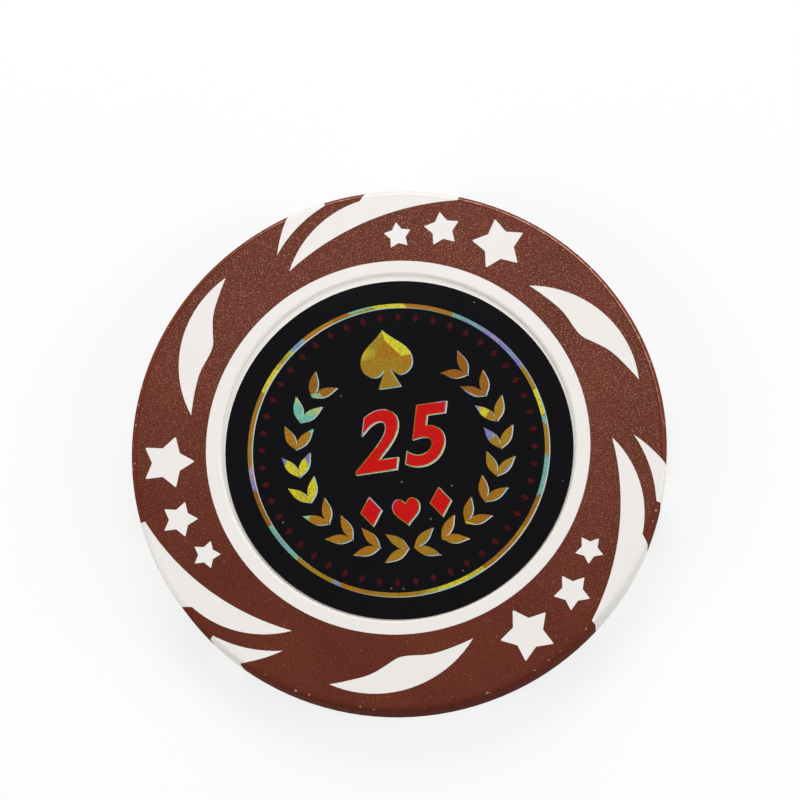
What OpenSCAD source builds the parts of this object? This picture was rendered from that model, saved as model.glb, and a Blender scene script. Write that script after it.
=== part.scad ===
// Two-colour moulded poker chip with a steel slug inside and a printed label on each face.
// The chip lies flat: +Z is its axis, the origin is the centre of its rear face, +Y is the top of its labels.

/* [Chip] */
// Outside diameter of the chip
chip_d = 40; // [38:0.5:48]
// Thickness of the chip over its two flat faces
chip_t = 3.3; // [3:0.1:4]
// Radius of the rounded edge where each face meets the rim
edge_r = 0.4; // [0.2:0.05:0.8]

/* [Labels] */
// Diameter of the die-cut label
label_d = 26; // [24:0.5:28]
// Thickness of the printed label film
label_t = 0.1; // [0.06:0.02:0.2]
// Thickness of the adhesive layer under the film
adhesive_t = 0.04; // [0.02:0.01:0.1]
// Bare strip of recess floor left round the label
label_gap = 0.3; // [0.1:0.05:0.5]
// Depth of the round recess that holds the label
recess_depth = 0.25; // [0.2:0.05:0.6]
// Width of the white ring round the recess
ring_w = 1.05; // [0.8:0.05:1.5]

/* [Steel slug] */
// White wall between the slug and the outside of the ring
slug_wall = 1.35; // [0.8:0.05:2]
// White skin between the slug and each recess floor
slug_skin = 0.4; // [0.3:0.05:0.6]
// Edge break left on the punched slug
slug_break = 0.15; // [0.05:0.05:0.3]
// Diameter of the holes left by the pins that hold the slug in the mould
support_d = 3; // [2:0.5:4]
// Diameter of the circle that these pins stand on
support_circle_d = 16; // [12:1:20]
// Number of support pins on each side
support_n = 3; // [3:1:4]

/* [Two-colour moulding] */
// Thickness of the web that ties the white shapes to the hub
web_t = 1.1; // [0.8:0.1:1.6]
// Brown cover between the edge of the web and the rim
rim_cover = 1; // [0.6:0.1:1.5]
// Diameter of the holes in the web that let the brown plastic flow through
key_d = 1.6; // [1:0.1:2]
// Number of times the pattern of shapes repeats round the chip
sector_n = 3; // [1:1:3]
// Diameter of the scar left on the rim where the brown shot was gated
gate_d = 0.6; // [0.4:0.1:1]
// Depth of the gate scar
gate_depth = 0.1; // [0.05:0.05:0.3]

/* [Hidden] */
$fn = 144;

// Length by which a cut or an extrusion runs past the faces that it crosses
overrun = 1;

chip_r = chip_d / 2;
recess_d = label_d + 2 * label_gap;
ring_r = recess_d / 2 + ring_w;
band_w = chip_r - ring_r;
slug_r = ring_r - slug_wall;
slug_t = chip_t - 2 * (recess_depth + slug_skin);
web_r = chip_r - rim_cover;
sector_turn = 120;

// The white shapes are laid out in one sector. Turns are degrees clockwise from +Y, and places are
// shares of the brown band, from 0 at the white ring to 1 at the rim. A curved side is a circle through
// three such places, or a smooth line through a row of them. A window is a straight-sided frame that
// limits a shape or opens it to the rim.
small_outer_shares = [[-23.7, 0.59], [-20.5, 0.805], [-17.2, 1]];
small_inner_shares = [[-23.7, 0.58], [-16.5, 0.787], [-9.4, 0.935]];
small_window_shares = [[-26, 0.4], [-21, 1.2], [-8.8, 1.2], [-9.2, 0.5]];
small_root_shares = [[-24, -0.1], [-22, 0.7], [-16, 0.8], [-15, -0.1]];
large_outer_shares = [[-23.2, 0.3], [-14.2, 0.636], [-1.9, 0.885]];
large_inner_shares = [[-23.2, 0.29], [-1.9, 0.565], [20, 0.917]];
large_window_shares = [[-1.6, 0.86], [3, 1.2], [21.2, 1.2], [20.6, 0.6], [0, 0.7]];
wave_outer_shares = [[46.9, 0.247], [63, 0.682], [82.7, 0.76]];
wave_inner_shares = [[46.4, 0.24], [52, 0.264], [58.5, 0.294], [64, 0.281], [67.3, 0.306], [70.3, 0.407],
                     [74, 0.538], [78.5, 0.648], [82.9, 0.757]];
wave_window_shares = [[84, 1.4], [65, 1.6], [46, 1.2]];

// Straight parts in each span of a smooth line
span_steps = 3;

// Stars: turn, place in the band, tip radius as a share of the band
star_shares = [[7.55, 0.355, 0.192], [18.9, 0.492, 0.248], [33.9, 0.516, 0.365]];
star_points = 5;
// Radius of the notches between a star's points, as a share of its tip radius
star_notch_share = 0.56;
// Part of each side of a point that its blunt end takes away
star_blunt_share = 0.06;

// Flow-through keys in the web: turn and place in the band
key_shares = [[-6, 0.26], [46.5, 0.58], [76, 0.28], [89, 0.5]];

// Gate scar: turn, and height as a share of the thickness
gate_turn = 30.5;
gate_height_share = 0.45;

function at_turn(turn, r) = [r * sin(turn), r * cos(turn)];
function in_band(place) = at_turn(place[0], ring_r + place[1] * band_w);

// Centre of the circle through three points
function circle_centre(p, q, s) =
    let (u = q - p, v = s - p, uu = u * u, vv = v * v)
    p + [v[1] * uu - u[1] * vv, u[0] * vv - v[0] * uu] / (2 * (u[0] * v[1] - u[1] * v[0]));

module disc_through(places) {
    points = [for (p = places) in_band(p)];
    centre = circle_centre(points[0], points[1], points[2]);
    translate(centre) circle(norm(points[0] - centre));
}

module window(places) {
    polygon([for (p = places) in_band(p)]);
}

// A smooth line through a row of knots
function smooth_line(knots) =
    [for (i = [0 : len(knots) - 2])
        let (a = knots[max(i - 1, 0)], b = knots[i], c = knots[i + 1], d = knots[min(i + 2, len(knots) - 1)])
        for (k = [0 : span_steps - 1])
            let (t = k / span_steps)
            b + (t * (c - a)
                 + pow(t, 2) * (2 * a - 5 * b + 4 * c - d)
                 + pow(t, 3) * (3 * b - a - 3 * c + d)) / 2,
     knots[len(knots) - 1]];

// The short swoosh that runs out to the rim
module small_swoosh() {
    difference() {
        intersection() {
            disc_through(small_outer_shares);
            window(small_window_shares);
        }
        disc_through(small_inner_shares);
    }
}

// The long swoosh beside it, with a wide end at the rim
module large_swoosh() {
    difference() {
        union() {
            disc_through(large_outer_shares);
            window(large_window_shares);
        }
        disc_through(large_inner_shares);
    }
}

// The free-standing wave, from its smooth inner edge out to its round back
module wave() {
    intersection() {
        disc_through(wave_outer_shares);
        window(concat(smooth_line(wave_inner_shares), wave_window_shares));
    }
}

// A star with blunted points, its first point along +Y
module star(tip_r) {
    step = 360 / star_points;
    tips = [for (i = [0 : star_points - 1]) at_turn(i * step, tip_r)];
    notches = [for (i = [0 : star_points - 1]) at_turn((i + 1 / 2) * step, tip_r * star_notch_share)];
    polygon([for (i = [0 : star_points - 1])
        each [tips[i] + (notches[(i + star_points - 1) % star_points] - tips[i]) * star_blunt_share,
              tips[i] + (notches[i] - tips[i]) * star_blunt_share,
              notches[i]]]);
}

// All the white shapes of the pattern, seen from the front
module pattern() {
    for (k = [0 : sector_n - 1])
        rotate(-k * sector_turn) {
            small_swoosh();
            large_swoosh();
            wave();
            for (s = star_shares)
                translate(in_band(s)) star(s[2] * band_w);
        }
}

// The whole chip as one turned shape with rounded edges
module blank() {
    rotate_extrude() {
        square([chip_r - edge_r, chip_t]);
        translate([0, edge_r]) square([chip_r, chip_t - 2 * edge_r]);
        for (z = [edge_r, chip_t - edge_r])
            translate([chip_r - edge_r, z]) circle(edge_r);
    }
}

// The web between hub and rim, at mid-thickness: a disc and the roots that carry the small swooshes
// however narrow the band is, with its flow-through holes
module web() {
    translate([0, 0, (chip_t - web_t) / 2])
        linear_extrude(web_t)
            difference() {
                union() {
                    circle(web_r);
                    for (k = [0 : sector_n - 1])
                        rotate(-k * sector_turn) window(small_root_shares);
                }
                for (k = [0 : sector_n - 1], p = key_shares)
                    rotate(-k * sector_turn) translate(in_band(p)) circle(d = key_d);
            }
}

// What the first shot fills, running past the faces and the rim
module first_shot() {
    web();
    translate([0, 0, -overrun]) {
        cylinder(r = ring_r, h = chip_t + 2 * overrun);
        linear_extrude(chip_t + 2 * overrun) pattern();
    }
}

// A disc with broken edges, centred in the thickness
module slug_form() {
    translate([0, 0, (chip_t - slug_t) / 2])
        rotate_extrude()
            polygon([[0, 0], [slug_r - slug_break, 0], [slug_r, slug_break], [slug_r, slug_t - slug_break],
                     [slug_r - slug_break, slug_t], [0, slug_t]]);
}

// A flat disc of the label stack, its underside at a height above the recess floor of the front face
module label_disc(base, t) {
    translate([0, 0, chip_t - recess_depth + base]) cylinder(d = label_d, h = t);
}

// The same place on the rear face
module on_rear() {
    translate([0, 0, chip_t]) mirror([0, 0, 1]) children();
}

module recess_cut() {
    translate([0, 0, chip_t - recess_depth]) cylinder(d = recess_d, h = recess_depth + overrun);
    for (i = [0 : support_n - 1])
        rotate(i * 360 / support_n)
            translate([0, support_circle_d / 2, chip_t / 2])
                cylinder(d = support_d, h = chip_t / 2);
}

module steel_slug() {
    color("silver") slug_form();
}

module white_core() {
    color("ivory")
        difference() {
            intersection() {
                blank();
                first_shot();
            }
            slug_form();
            recess_cut();
            on_rear() recess_cut();
        }
}

module brown_body() {
    color("saddlebrown")
        difference() {
            blank();
            first_shot();
            rotate(-gate_turn)
                translate([0, chip_r - gate_depth, chip_t * gate_height_share])
                    rotate([-90, 0, 0]) cylinder(d = gate_d, h = gate_depth + overrun);
        }
}

module front_adhesive() {
    color("gainsboro") label_disc(0, adhesive_t);
}

module front_label() {
    color("black") label_disc(adhesive_t, label_t);
}

module rear_adhesive() {
    color("gainsboro") on_rear() label_disc(0, adhesive_t);
}

module rear_label() {
    color("black") on_rear() label_disc(adhesive_t, label_t);
}

steel_slug();
white_core();
brown_body();
front_adhesive();
front_label();
rear_adhesive();
rear_label();
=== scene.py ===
import math

import bmesh
import bpy
from mathutils import Euler, Matrix, Vector


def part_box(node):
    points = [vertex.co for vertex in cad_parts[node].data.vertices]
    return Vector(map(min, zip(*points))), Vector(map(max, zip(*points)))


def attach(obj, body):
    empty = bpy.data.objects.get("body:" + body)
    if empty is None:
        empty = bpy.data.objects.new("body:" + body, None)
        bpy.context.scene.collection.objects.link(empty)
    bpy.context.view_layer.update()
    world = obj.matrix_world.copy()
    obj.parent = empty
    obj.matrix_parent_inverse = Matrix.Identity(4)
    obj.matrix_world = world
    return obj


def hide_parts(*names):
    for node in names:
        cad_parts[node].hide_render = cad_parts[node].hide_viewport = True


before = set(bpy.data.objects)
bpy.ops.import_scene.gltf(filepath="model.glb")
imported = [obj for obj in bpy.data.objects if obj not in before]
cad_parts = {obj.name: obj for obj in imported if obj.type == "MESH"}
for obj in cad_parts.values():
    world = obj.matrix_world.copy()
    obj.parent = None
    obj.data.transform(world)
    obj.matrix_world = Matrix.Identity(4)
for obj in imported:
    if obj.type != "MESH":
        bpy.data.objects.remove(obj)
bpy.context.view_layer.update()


# Steel slug: a disc punched from cold-rolled strip, which gives the chip its weight.
# It is bare steel with fine rolling lines, and the white plastic is moulded round it.
class Wire:
    """One output of a shader node. Arithmetic on it adds Math nodes to its material."""

    def __init__(self, socket):
        self.socket = socket

    def node(self, kind, sockets=(), output=0, stops=(), **settings):
        """A new node in the same material: its type, its sockets' values or links, and its settings."""
        made = self.socket.id_data.nodes.new("ShaderNode" + kind)
        for setting, value in settings.items():
            setattr(made, setting, value)
        for index, (position, colour) in enumerate(stops):
            ramp = made.color_ramp.elements
            if index == len(ramp):
                ramp.new(position)
            ramp[index].position = position
            ramp[index].color = colour
        feed(made, dict(sockets))
        return Wire(made.outputs[output])

    def math(self, operation, first, second=0.0):
        return self.node("Math", {0: first, 1: second}, operation=operation)

    def __add__(self, other):
        return self.math("ADD", self, other)

    def __sub__(self, other):
        return self.math("SUBTRACT", self, other)

    def __rsub__(self, other):
        return self.math("SUBTRACT", other, self)

    def __mul__(self, other):
        return self.math("MULTIPLY", self, other)

    def __abs__(self):
        return self.math("ABSOLUTE", self)

    __radd__ = __add__
    __rmul__ = __mul__

    def rise(self, low, high):
        """0 below low, 1 above high and a soft step between them."""
        return self.node("MapRange", {0: self, 1: low, 2: high}, interpolation_type="SMOOTHSTEP")

    def line(self, at, core, end):
        """1 where this value is within core of the given one, and 0 from end onwards."""
        return 1 - abs(self - at).rise(core, end)

    def mix(self, first, second):
        """From the first colour to the second as this value goes from 0 to 1."""
        return self.node("Mix", {0: self, 6: first, 7: second}, output=2, data_type="RGBA")

    def along(self, direction):
        """How far this place lies in a direction."""
        return self.node("VectorMath", {0: self, 1: direction}, "Value", operation="DOT_PRODUCT")

    def from_axis(self):
        """How far this place lies from the chip's axis."""
        level = self.node("VectorMath", {0: self, 1: (1, 1, 0)}, operation="MULTIPLY")
        return level.node("VectorMath", {0: level}, "Value", operation="LENGTH")

    def noise(self, scale, detail):
        """Soft noise with a grain of one over scale, in millimetres."""
        return self.node("TexNoise", {"Vector": self, "Scale": scale, "Detail": detail}, "Fac")

    def cell_draw(self, scale, channel, dimensions="3D"):
        """A random value for each of the cells, which are one over scale across, in millimetres."""
        cells = {"Vector": self, "Scale": scale}
        colour = self.node("TexVoronoi", cells, "Color", voronoi_dimensions=dimensions)
        return colour.node("SeparateColor", {0: colour}, channel)

    def cell_reach(self, scale, dimensions="3D"):
        """How far this place lies from the middle of its cell, as a share of the cell."""
        cells = {"Vector": self, "Scale": scale}
        return self.node("TexVoronoi", cells, "Distance", voronoi_dimensions=dimensions)

    def spots(self, scale, channel, drawn, fade, dimensions="3D"):
        """Round spots in the cells whose random value is drawn, each fading out from its middle."""
        reach = self.cell_reach(scale, dimensions)
        return self.cell_draw(scale, channel, dimensions).rise(*drawn) * (1 - reach.rise(*fade))

    def bump(self, height):
        """The normal of a surface with this relief, which is in millimetres."""
        return self.node("Bump", {"Height": height, "Distance": mm, "Strength": 1.0})


def feed(node, sockets):
    """Sets a node's sockets by name or number, to a value or to a wire."""
    for key, value in sockets.items():
        if isinstance(value, Wire):
            node.id_data.links.new(value.socket, node.inputs[key])
        else:
            node.inputs[key].default_value = value


def surface(name):
    """A new material, its shader and the place on the piece in millimetres."""
    material = bpy.data.materials.new(name)
    material.use_nodes = True
    nodes = material.node_tree.nodes
    place = Wire(nodes.new("ShaderNodeTexCoord").outputs["Object"])
    place_mm = place.node("VectorMath", {0: place, "Scale": 1 / mm}, operation="SCALE")
    return material, nodes["Principled BSDF"], place_mm


def srgb(red, green, blue):
    """A colour as it looks on screen, from 0 to 255, as the shader's linear colour."""
    shares = [level / 255 for level in (red, green, blue)]
    return (*[s / 12.92 if s <= 0.04045 else ((s + 0.055) / 1.055) ** 2.4 for s in shares], 1.0)


def finish_with(piece, material):
    """Gives a piece its one material."""
    piece.data.materials.clear()
    piece.data.materials.append(material)


mm = 0.001

# In the materials, places and reliefs are in millimetres
rolling_stretch = (0.15, 6.0, 6.0)
rolling_relief = 0.004
grey_steel = srgb(150, 152, 155)
bright_steel = srgb(188, 188, 186)

steel, shader, place = surface("cold_rolled_steel")
along_strip = place.node("VectorMath", {0: place, 1: rolling_stretch}, operation="MULTIPLY")
rolling = along_strip.noise(scale=1.0, detail=3.0)
bloom = place.noise(scale=0.2, detail=3.0)
feed(shader, {
    "Base Color": bloom.mix(grey_steel, bright_steel),
    "Metallic": 1.0,
    "Roughness": rolling * 0.25 + 0.25,
    "Normal": place.bump(rolling * rolling_relief),
})
finish_with(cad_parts["steel_slug"], steel)


# White first shot: the hub, the ring round the labels and the shapes of the pattern, in one moulding
# of gloss plastic shot round the slug. The mould rounds the lip of each recess, and where its halves
# meet it leaves a faint line round the rim.
merge_distance = 0.002 * mm
flat_angle = math.radians(0.5)
smooth_angle = math.radians(35)
flat_face_weight = 100
chip_low, chip_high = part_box("brown_body")
chip_thickness = chip_high.z - chip_low.z
label_low, label_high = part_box("front_label")
label_radius = label_high.x
label_gap = 0.3 * mm
recess_radius = label_radius + label_gap
lip_radius = 0.18 * mm
lip_segments = 5
hair = 0.01 * mm

# In the material
upward = (0, 0, 1)
rim_radius = chip_high.x / mm
rim_margin = 0.1
rim_start = rim_radius - rim_margin
rim_fade = 0.05
parting_share = 0.3
parting_height = parting_share * chip_thickness / mm
parting_core, parting_end = 0.02, 0.07
parting_relief = 0.01
recess_edge = recess_radius / mm
fade_inside, fade_outside = 0.1, 0.05
satin_relief = 0.003
dull_white = srgb(236, 231, 226)
clean_white = srgb(241, 237, 233)
# Painted light: a brighter white for the strip of the recess round the label
recess_light_white = srgb(245, 241, 237)
parting_grey = srgb(206, 200, 194)
scuff_grey = srgb(206, 200, 192)


def activate(piece):
    """Makes a piece the active one and the only one selected."""
    bpy.ops.object.select_all(action="DESELECT")
    piece.select_set(True)
    bpy.context.view_layer.objects.active = piece


def moulding(name, node):
    """A piece with a merged copy of a CAD node's mesh, its flat faces whole, in edit mode."""
    piece = bpy.data.objects.new(name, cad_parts[node].data.copy())
    bpy.context.scene.collection.objects.link(piece)
    activate(piece)
    bpy.ops.mesh.customdata_custom_splitnormals_clear()
    bpy.ops.object.mode_set(mode="EDIT")
    bpy.ops.mesh.select_all(action="SELECT")
    bpy.ops.mesh.remove_doubles(threshold=merge_distance)
    bpy.ops.mesh.dissolve_limited(angle_limit=flat_angle)
    bpy.ops.mesh.select_all(action="DESELECT")
    bpy.ops.mesh.select_mode(type="EDGE")
    return piece


def shade(piece):
    """Leaves edit mode with smooth shading between sharp edges, and flat faces kept flat."""
    bpy.ops.object.mode_set(mode="OBJECT")
    bpy.ops.object.shade_smooth_by_angle(angle=smooth_angle)
    bpy.ops.object.modifier_add(type="WEIGHTED_NORMAL")
    weights = piece.modifiers[-1]
    weights.keep_sharp = True
    weights.weight = flat_face_weight
    bpy.ops.object.modifier_apply(modifier=weights.name)


def select_edges(piece, wanted):
    """Selects the edges of the piece in edit mode whose two ends are both wanted."""
    shape = bmesh.from_edit_mesh(piece.data)
    for edge in shape.edges:
        edge.select_set(all(wanted(end.co) for end in edge.verts))
    bmesh.update_edit_mesh(piece.data)


def on_lip(point):
    """Whether a point lies where the wall of a recess meets the chip's face."""
    at_face = min(abs(point.z), abs(point.z - chip_thickness)) < hair
    return at_face and abs(math.hypot(point.x, point.y) - recess_radius) < hair


def parting_line(place):
    """1 along the line round the rim where the halves of the mould met."""
    on_rim = place.from_axis().rise(rim_start, rim_start + rim_fade)
    return on_rim * place.along(upward).line(parting_height, parting_core, parting_end)


white_moulding = moulding("white_moulding", "white_core")
select_edges(white_moulding, on_lip)
bpy.ops.mesh.bevel(offset=lip_radius, segments=lip_segments, affect="EDGES")
shade(white_moulding)

white, shader, place = surface("gloss_white_plastic")
# Painted light: the strip of the recess round the label is painted a brighter white, in place of light that
# its wall shades off
recess_light = 1 - place.from_axis().rise(recess_edge - fade_inside, recess_edge + fade_outside)
parting = parting_line(place)
cloud = place.noise(scale=0.3, detail=3.0)
satin = place.noise(scale=9.0, detail=2.0)
scuff = place.noise(scale=2.4, detail=4.0).rise(0.68, 0.8)
toned_and_recess_lit = recess_light.mix(cloud.mix(dull_white, clean_white), recess_light_white)
lined = (parting * 0.5).mix(toned_and_recess_lit, parting_grey)
feed(shader, {
    "Base Color": (scuff * 0.35).mix(lined, scuff_grey),
    "Roughness": satin * 0.1 + scuff * 0.1 + 0.33,
    "Specular IOR Level": 0.3,
    "Normal": place.bump(satin * satin_relief + parting * parting_relief),
})
finish_with(white_moulding, white)
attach(white_moulding, "root")
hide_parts("white_core")


# Brown second shot: the band and the rim, moulded over the web of the white shot and through its holes.
# Its faces have a spark-eroded texture, which ends at a fine ridge along each edge. The rim is smooth
# and carries the gate scar, and handling has nicked the edges and worn the ridge. Painted highlights: the
# texture's glints, the rounded edge and the ridge are painted lighter, most on the side the light comes from.
texture_margin = 0.38
texture_fade = 0.1
face_end = rim_radius - texture_margin
spark_relief = 0.03
fine_relief = 0.012
point_cells = 5.0
point_relief = 0.02
speck_cells = 2.6
# Painted light: the side towards which the texture's painted glints grow stronger
sparkle_side = (0.35, 0.94, 0)
sparkle_start, sparkle_full = -16.0, 12.0
ridge_margin = 0.27
ridge_half = 0.075
ridge_relief = 0.025
# Painted highlight: the side on which the ridge is painted pale, partly as wear and partly as light
wear_and_light_side = (0.5, 0.87, 0)
wear_and_light_start, wear_and_light_full = 5.0, 19.5
edge_fade = 0.08
nick_depth = 0.03
gate_turn = math.radians(30.5)
gate_height_share = 0.45
gate_height = gate_height_share * chip_thickness / mm
gate_place = (rim_radius * math.sin(gate_turn), rim_radius * math.cos(gate_turn), gate_height)
gate_core, gate_end = 0.26, 0.36
deep_brown = srgb(88, 39, 27)
light_brown = srgb(105, 48, 35)
glint_brown = srgb(186, 134, 116)
edge_wear_and_highlight_brown = srgb(172, 94, 70)
ridge_wear_highlight_brown = srgb(228, 178, 156)
nick_brown = srgb(208, 164, 144)
gate_brown = srgb(186, 132, 96)

brown_moulding = moulding("brown_moulding", "brown_body")
shade(brown_moulding)

brown, shader, place = surface("textured_brown_plastic")
radius = place.from_axis()
on_face = 1 - radius.rise(face_end - texture_fade, face_end)
at_edge = radius.rise(face_end, face_end + texture_fade) * (1 - radius.rise(rim_start, rim_start + edge_fade))
ridge = radius.line(rim_radius - ridge_margin, 0.0, ridge_half)
parting = parting_line(place)
from_gate = place.node("VectorMath", {0: place, 1: gate_place}, "Value", operation="DISTANCE")
gate = 1 - from_gate.rise(gate_core, gate_end)
# Painted light: the texture's glints grow stronger towards this side, the side the light comes from
sparkle = place.along(sparkle_side).rise(sparkle_start, sparkle_full)
worn_and_lit = place.along(wear_and_light_side).rise(wear_and_light_start, wear_and_light_full)
cloud = place.noise(scale=0.22, detail=3.0)
spark = place.noise(scale=10.0, detail=2.0)
fine = place.noise(scale=20.0, detail=2.0)
broken = place.noise(scale=3.5, detail=4.0).rise(0.36, 0.62)
nick = at_edge * place.noise(scale=2.4, detail=3.0).rise(0.65, 0.7)
grain = on_face * (sparkle * 0.85 + 0.15)
# Painted highlights: peaks, spots and specks of the texture are painted in a bright colour as glints, partly
# burnished by wear; peaks and spots grow stronger towards the lit side
peak_glints = grain * (spark * 0.6 + fine * 0.4).rise(0.5, 0.64)
points = grain * place.spots(point_cells, channel=1, drawn=(0.4, 1.0), fade=(0.05, 0.3), dimensions="2D")
specks = on_face * place.spots(speck_cells, channel=0, drawn=(0.82, 1.0), fade=(0.04, 0.16), dimensions="2D")

body = (cloud * 0.4 + spark * 0.6).rise(0.3, 0.7).mix(deep_brown, light_brown)
glints_and_burnish = grain * 0.02 + peak_glints * 0.4 + points * 0.95 + specks * 0.45
# Painted highlight: the rounded edge is painted lighter, a little all round as wear and more towards the lit
# side
edge_wear_and_highlight = (at_edge * (sparkle * 0.14 + 0.07)).mix(glints_and_burnish.mix(body, glint_brown), edge_wear_and_highlight_brown)
# Painted highlight: the ridge is painted pale towards the lit side, broken up like wear
ridge_wear_and_highlight = ridge * worn_and_lit * (broken * 0.65 + 0.3)
lined = (ridge_wear_and_highlight + parting * 0.1).mix(edge_wear_and_highlight, ridge_wear_highlight_brown)
nicked = (nick * 0.8).mix(lined, nick_brown)
texture = grain * (spark * spark_relief + fine * fine_relief) + points * point_relief
mould_lines = ridge * ridge_relief + parting * parting_relief
feed(shader, {
    "Base Color": gate.mix(nicked, gate_brown),
    "Roughness": 0.76 - on_face * 0.24 + fine * 0.08,
    "Specular IOR Level": 0.04,
    "Normal": place.bump(texture + mould_lines - nick * nick_depth),
})
finish_with(brown_moulding, brown)
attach(brown_moulding, "root")
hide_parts("brown_body")


# Label adhesive: a thin even coat of clear pressure-sensitive rubber on the back of each label.
# Only its edge can be seen, in the gap round the film. The label was stuck a little low by hand.
label_sides = 240
label_slip = (0.07 * mm, -0.23 * mm)
adhesive_low, adhesive_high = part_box("front_adhesive")
cloudy_glue = srgb(214, 205, 186)
clear_glue = srgb(232, 226, 212)


def label_disc(name, low, high):
    """A disc of the label's size between two heights, where the label was stuck."""
    bpy.ops.object.select_all(action="DESELECT")
    bpy.ops.mesh.primitive_cylinder_add(
        vertices=label_sides, radius=label_radius, depth=high - low, location=(*label_slip, (low + high) / 2))
    disc = bpy.context.object
    disc.name = name
    bpy.ops.object.transform_apply(location=True, rotation=True, scale=True)
    return disc


def turned_to_rear(piece, name):
    """A copy of a piece of the front label, with its own mesh, turned over onto the rear face."""
    copy = bpy.data.objects.new(name, piece.data.copy())
    bpy.context.scene.collection.objects.link(copy)
    centre = Matrix.Translation((0, 0, chip_thickness / 2))
    copy.data.transform(centre @ Matrix.Rotation(math.pi, 4, "Y") @ centre.inverted())
    return copy


front_glue = label_disc("front_glue", adhesive_low.z, adhesive_high.z)
bpy.ops.object.shade_smooth_by_angle(angle=smooth_angle)
rear_glue = turned_to_rear(front_glue, "rear_glue")

adhesive, shader, place = surface("clear_adhesive")
creep = place.noise(scale=1.2, detail=2.0)
feed(shader, {
    "Base Color": creep.mix(cloudy_glue, clear_glue),
    "Roughness": creep * 0.2 + 0.3,
})
for piece, node in ((front_glue, "front_adhesive"), (rear_glue, "rear_adhesive")):
    finish_with(piece, adhesive)
    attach(piece, "root")
    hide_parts(node)


# Label film: a black printed gloss film, die-cut to a disc and stuck in each recess by hand.
# The cutting die rolls its edge over a little, and the cut shows the white stock under the print.
roll_radius = 0.03 * mm
roll_segments = 3
print_depth = 0.03 * mm

# In the material
chip_middle = chip_thickness / 2
print_start = (label_high.z - chip_middle - print_depth) / mm
stock_fade = 0.01
dust_cells = 1.1
deep_black = srgb(10, 10, 13)
hazy_black = srgb(14, 14, 18)
dust_grey = srgb(170, 170, 172)
stock_white = srgb(232, 230, 226)

front_film = label_disc("front_film", label_low.z, label_high.z)
bpy.ops.object.mode_set(mode="EDIT")
bpy.ops.mesh.select_mode(type="EDGE")
bpy.ops.mesh.select_all(action="DESELECT")
select_edges(front_film, lambda point: abs(point.z - label_high.z) < hair)
bpy.ops.mesh.bevel(offset=roll_radius, segments=roll_segments, affect="EDGES")
bpy.ops.object.mode_set(mode="OBJECT")
bpy.ops.object.shade_smooth_by_angle(angle=smooth_angle)
rear_film = turned_to_rear(front_film, "rear_film")

black, shader, place = surface("black_printed_film")
haze = place.noise(scale=0.4, detail=3.0)
dust = place.spots(dust_cells, channel=0, drawn=(0.86, 0.9), fade=(0.04, 0.09))
from_middle = abs(place.along(upward) - chip_middle / mm)
printed = from_middle.rise(print_start - stock_fade, print_start)
dusty_black = (dust * 0.5).mix(haze.mix(deep_black, hazy_black), dust_grey)
feed(shader, {
    "Base Color": printed.mix(stock_white, dusty_black),
    "Roughness": haze * 0.06 + 0.08,
    "Specular IOR Level": 0.2,
})
for piece, node in ((front_film, "front_label"), (rear_film, "rear_label")):
    finish_with(piece, black)
    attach(piece, "root")
    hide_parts(node)


# Label print: hot-stamped rainbow foil over a pale silver edge, with red ink on top, each microns thick.
# It is a little off centre. A ring line and ink diamonds frame a wreath, a number, a spade and red suits.
print_place = (0, -0.27 * mm)
film_top = label_high.z
silver_thickness = 0.006 * mm
silver_shift = (0.08 * mm, -0.06 * mm)
foil_thickness = 0.012 * mm
foil_base = film_top + silver_thickness
ink_thickness = 0.01 * mm
ink_base = foil_base + foil_thickness
outline_width = 0.07 * mm
ring_line_radius = 11.1 * mm
ring_line_width = 0.3 * mm
ring_line_sides = 240
number_text = "25"
number_height = 6.4 * mm
number_shear = 0.25
number_spacing = 1.12
number_weight = 0.1 * mm
number_place = (0, 0.5 * mm)
spade_height = 4.2 * mm
spade_place = (0, 7.0 * mm)
wreath_radius = 7.6 * mm
wreath_leaves = 9
wreath_first, wreath_last = math.radians(172), math.radians(44)
leaf_length = 2.1 * mm
leaf_lean = math.radians(32)
leaf_spread = 0.52 * mm
suit_height = 1.9 * mm
suit_places = ((-2.6 * mm, -4.5 * mm), (0, -4.8 * mm), (2.6 * mm, -4.5 * mm))
border_radius = 10.2 * mm
border_diamonds = 48
border_height = 0.62 * mm

# Outlines of the suits and the leaf, about 1 high: the right half from top to bottom, its sharp points marked
heart_half = [(0, 0.24, "sharp"), (0.27, 0.46, "round"), (0.5, 0.16, "round"), (0, -0.54, "sharp")]
spade_half = [(0, 0.54, "sharp"), (0.46, -0.08, "round"), (0.24, -0.32, "round"), (0.05, -0.2, "sharp"),
              (0.2, -0.54, "sharp")]
leaf_half = [(0, 0.5, "sharp"), (0.16, -0.05, "round"), (0, -0.5, "sharp")]
diamond_half = [(0, 0.54, "sharp"), (0.38, 0, "sharp"), (0, -0.54, "sharp")]
handle_types = {"sharp": "VECTOR", "round": "AUTO"}


def flat_outline(half, height, grow):
    """A flat filled curve from one half of its outline, grown all round."""
    bpy.ops.object.select_all(action="DESELECT")
    bpy.ops.curve.primitive_bezier_circle_add()
    curve = bpy.context.object
    curve.data.dimensions = "2D"
    curve.data.fill_mode = "BOTH"
    curve.data.splines.clear()
    spline = curve.data.splines.new("BEZIER")
    mirrored = [(-x, y, kind) for x, y, kind in reversed(half) if x > 0]
    spline.bezier_points.add(len(half) + len(mirrored) - 1)
    for point, (x, y, kind) in zip(spline.bezier_points, half + mirrored):
        point.co = (x * height, y * height, 0)
        point.handle_left_type = handle_types[kind]
        point.handle_right_type = handle_types[kind]
    spline.use_cyclic_u = True
    curve.data.offset = grow
    return curve


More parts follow.
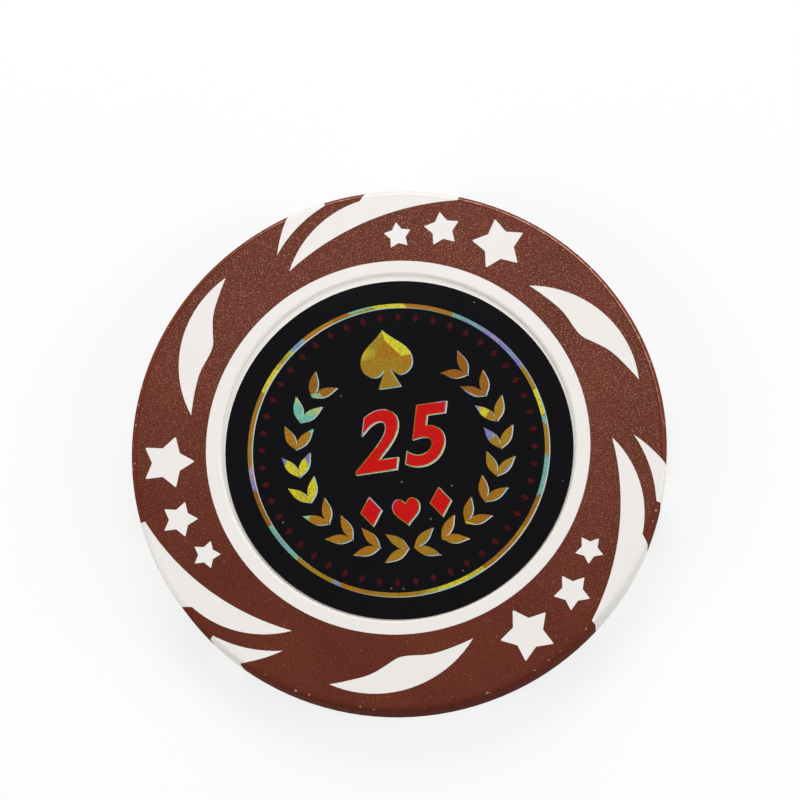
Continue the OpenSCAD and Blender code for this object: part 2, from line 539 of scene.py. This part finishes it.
def flat_number(grow):
    """The number as a flat filled text, grown all round."""
    bpy.ops.object.select_all(action="DESELECT")
    bpy.ops.object.text_add()
    text = bpy.context.object
    text.data.body = number_text
    text.data.size = number_height
    text.data.shear = number_shear
    text.data.space_character = number_spacing
    text.data.align_x = "CENTER"
    text.data.align_y = "CENTER"
    text.data.offset = grow
    return text


def on_print(place, height):
    """A place in the design, measured from its middle, at a height on the chip."""
    return print_place[0] + place[0], print_place[1] + place[1], height


def stamped(shape, name, thickness, base, place, turn=0.0):
    """Makes a flat shape a closed layer of the given thickness, at its place in the design."""
    shape.name = name
    shape.data.extrude = thickness / 2
    bpy.ops.object.convert(target="MESH")
    layer = bpy.context.object
    layer.rotation_euler.z = turn
    layer.location = on_print(place, base + thickness / 2)
    bpy.ops.object.transform_apply(location=True, rotation=True, scale=True)
    bpy.ops.object.mode_set(mode="EDIT")
    bpy.ops.mesh.select_all(action="SELECT")
    bpy.ops.mesh.remove_doubles(threshold=merge_distance)
    bpy.ops.mesh.normals_make_consistent(inside=False)
    bpy.ops.object.mode_set(mode="OBJECT")
    return layer


def ring_line(name, thickness, base, place):
    """A flat ring: a circle drawn out to a band and raised to its thickness."""
    bpy.ops.object.select_all(action="DESELECT")
    inner = ring_line_radius - ring_line_width / 2
    middle = on_print(place, base)
    bpy.ops.mesh.primitive_circle_add(vertices=ring_line_sides, radius=inner, location=middle)
    ring = bpy.context.object
    ring.name = name
    bpy.ops.object.transform_apply(location=True, rotation=True, scale=True)
    bpy.ops.object.mode_set(mode="EDIT")
    bpy.ops.mesh.select_all(action="SELECT")
    bpy.ops.mesh.extrude_edges_move()
    spread = 1 + ring_line_width / inner
    bpy.ops.transform.resize(value=(spread, spread, 1), center_override=middle)
    bpy.ops.mesh.select_all(action="SELECT")
    bpy.ops.mesh.extrude_region_move(TRANSFORM_OT_translate={"value": (0, 0, thickness)})
    bpy.ops.mesh.select_all(action="SELECT")
    bpy.ops.mesh.normals_make_consistent(inside=False)
    bpy.ops.object.mode_set(mode="OBJECT")
    return ring


silver_layers = [ring_line("silver_ring", silver_thickness, film_top, silver_shift)]
foil_layers = [ring_line("foil_ring", foil_thickness, foil_base, (0, 0))]


def foiled(draw, place, turn=0.0):
    """Stamps what draw makes in foil, over a silver one that shows below it and to its right."""
    edge_place = (place[0] + silver_shift[0], place[1] + silver_shift[1])
    silver_layers.append(stamped(draw(), "silver_edge", silver_thickness, film_top, edge_place, turn))
    foil_layers.append(stamped(draw(), "foil_shape", foil_thickness, foil_base, place, turn))


def joined(layers, name):
    """The layers of one colour as one piece."""
    activate(layers[0])
    for layer in layers:
        layer.select_set(True)
    bpy.ops.object.join()
    layers[0].name = name
    return layers[0]


def finish_print(front, rear_name, material):
    """Gives a layer of the front print, and its copy on the rear label, their material and body."""
    for piece in (front, turned_to_rear(front, rear_name)):
        finish_with(piece, material)
        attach(piece, "root")


foiled(lambda: flat_outline(spade_half, spade_height, 0.0), spade_place)
foiled(lambda: flat_number(number_weight + outline_width), number_place)
ink_layers = [stamped(flat_number(number_weight), "number_ink", ink_thickness, ink_base, number_place)]
for index in range(wreath_leaves):
    turn = wreath_first + (wreath_last - wreath_first) * index / (wreath_leaves - 1)
    for side in (-1, 1):
        for outward in (-1, 1):
            reach = wreath_radius + outward * leaf_spread
            spot = (side * reach * math.sin(turn), reach * math.cos(turn))
            lean = side * (math.pi / 2 - turn - outward * leaf_lean)
            foiled(lambda: flat_outline(leaf_half, leaf_length, 0.0), spot, lean)
for half, spot in zip((diamond_half, heart_half, diamond_half), suit_places):
    foiled(lambda: flat_outline(half, suit_height, outline_width), spot)
    ink_layers.append(stamped(
        flat_outline(half, suit_height, 0.0), "suit_ink", ink_thickness, ink_base, spot))
border_layers = []
for index in range(border_diamonds):
    turn = -2 * math.pi * index / border_diamonds
    spot = (-border_radius * math.sin(turn), border_radius * math.cos(turn))
    border_layers.append(stamped(
        flat_outline(diamond_half, border_height, 0.0), "border_ink", ink_thickness, film_top, spot, turn))
front_silver = joined(silver_layers, "front_silver")
front_foil = joined(foil_layers, "front_foil")
front_ink = joined(ink_layers, "front_ink")
front_border = joined(border_layers, "front_border")

warm_silver = srgb(222, 214, 200)
cool_silver = srgb(168, 216, 220)
silver, shader, place = surface("silver_foil")
sheen = place.noise(scale=0.35, detail=2.0)
glint = place.noise(scale=6.0, detail=2.0)
feed(shader, {
    "Base Color": sheen.rise(0.4, 0.6).mix(warm_silver, cool_silver),
    "Metallic": 0.3,
    "Roughness": glint * 0.2 + 0.25,
})
finish_print(front_silver, "rear_silver", silver)

rainbow_stops = (
    (0.0, srgb(166, 102, 4)), (0.4, srgb(200, 138, 14)), (0.56, srgb(180, 152, 36)),
    (0.62, srgb(252, 244, 50)), (0.74, srgb(244, 236, 60)), (0.8, srgb(120, 226, 196)),
    (0.88, srgb(146, 138, 226)), (1.0, srgb(220, 206, 196)))
foil_shade = srgb(110, 70, 10)
facet_cells = 0.3
scale_cells = 9.0
scale_relief = 0.01
foil, shader, place = surface("rainbow_foil")
facet = place.cell_draw(facet_cells, channel=1)
scales = place.cell_reach(scale_cells)
drift = place.noise(scale=0.5, detail=2.0)
rainbow = facet.node("ValToRGB", {0: facet + drift * 0.2 - 0.1}, stops=rainbow_stops)
feed(shader, {
    "Base Color": (scales.rise(0.1, 0.8) * 0.5).mix(rainbow, foil_shade),
    "Metallic": 0.4,
    "Roughness": scales * 0.2 + 0.25,
    "Normal": place.bump(scales * scale_relief),
})
finish_print(front_foil, "rear_foil", foil)

thick_red = srgb(178, 4, 4)
thin_red = srgb(206, 8, 6)
red, shader, place = surface("red_ink")
lay = place.noise(scale=2.5, detail=3.0)
feed(shader, {
    "Base Color": lay.mix(thick_red, thin_red),
    "Roughness": lay * 0.15 + 0.25,
    "Specular IOR Level": 0.25,
})
finish_print(front_ink, "rear_ink", red)

thick_dark_red = srgb(56, 8, 10)
thin_dark_red = srgb(78, 11, 13)
dark_red, shader, place = surface("dark_red_ink")
lay = place.noise(scale=3.0, detail=3.0)
feed(shader, {
    "Base Color": lay.mix(thick_dark_red, thin_dark_red),
    "Roughness": lay * 0.15 + 0.2,
    "Specular IOR Level": 0.2,
})
finish_print(front_border, "rear_border", dark_red)


# Studio: the chip lies on a white table under soft light from all round, and more of it from behind.
# The camera stands where the photograph's did, above the front edge.
floor_size = 6.0
table_grey = srgb(125, 125, 125)
table_glow = 0.78
unlit, lit = (0, 0, 0, 1), (1, 1, 1, 1)
world_level = 0.23
camera_place = Vector((8.466, -55.155, 214.901)) * mm
camera_turn = Euler([math.radians(angle) for angle in (15.0429, 4.1473, -7.4522)])
camera_lens = 132.255
camera_near = 10 * mm

bpy.ops.object.select_all(action="DESELECT")
bpy.ops.mesh.primitive_plane_add(size=floor_size, location=(0, 0, -hair))
floor = bpy.context.object
floor.name = "floor"
bpy.ops.object.transform_apply(location=True, rotation=True, scale=True)

# The table glows only where it is seen, straight, mirrored or through glass, so it keeps the chip's shadow
table, shader, place = surface("white_table")
straight, mirrored, through = (
    place.node("LightPath", output=f"Is {kind} Ray") for kind in ("Camera", "Glossy", "Transmission"))
feed(shader, {
    "Base Color": table_grey,
    "Roughness": 0.9,
    "Specular IOR Level": 0.0,
    "Emission Color": (straight + mirrored + through).mix(unlit, lit),
    "Emission Strength": table_glow,
})
floor.data.materials.append(table)

world = bpy.data.worlds.new("soft_room")
world.use_nodes = True
feed(world.node_tree.nodes["Background"], {"Color": lit, "Strength": world_level})
bpy.context.scene.world = world


def soft_lamp(name, azimuth, elevation, distance, size, share):
    """A square lamp aimed at the chip, giving a share of the plain light level on its face."""
    lamp = bpy.data.lights.new(name, "AREA")
    lamp.size = size
    turn, tilt = math.radians(azimuth), math.radians(elevation)
    lamp.energy = share * math.pi ** 2 * distance ** 2 / math.sin(tilt)
    holder = bpy.data.objects.new(name, lamp)
    bpy.context.scene.collection.objects.link(holder)
    away = Vector((math.sin(turn) * math.cos(tilt), math.cos(turn) * math.cos(tilt), math.sin(tilt)))
    holder.location = away * distance
    holder.rotation_euler = away.to_track_quat("Z", "Y").to_euler()


soft_lamp("back_softbox", azimuth=6, elevation=34, distance=0.38, size=0.25, share=0.42)
soft_lamp("left_softbox", azimuth=-102, elevation=22, distance=0.6, size=0.3, share=0.21)
soft_lamp("right_softbox", azimuth=104, elevation=22, distance=0.6, size=0.3, share=0.24)

camera = bpy.data.objects.new("camera", bpy.data.cameras.new("camera"))
bpy.context.scene.collection.objects.link(camera)
camera.location = camera_place
camera.rotation_euler = camera_turn
camera.data.lens = camera_lens
camera.data.clip_start = camera_near
bpy.context.scene.camera = camera
bpy.context.scene.view_settings.view_transform = "Standard"
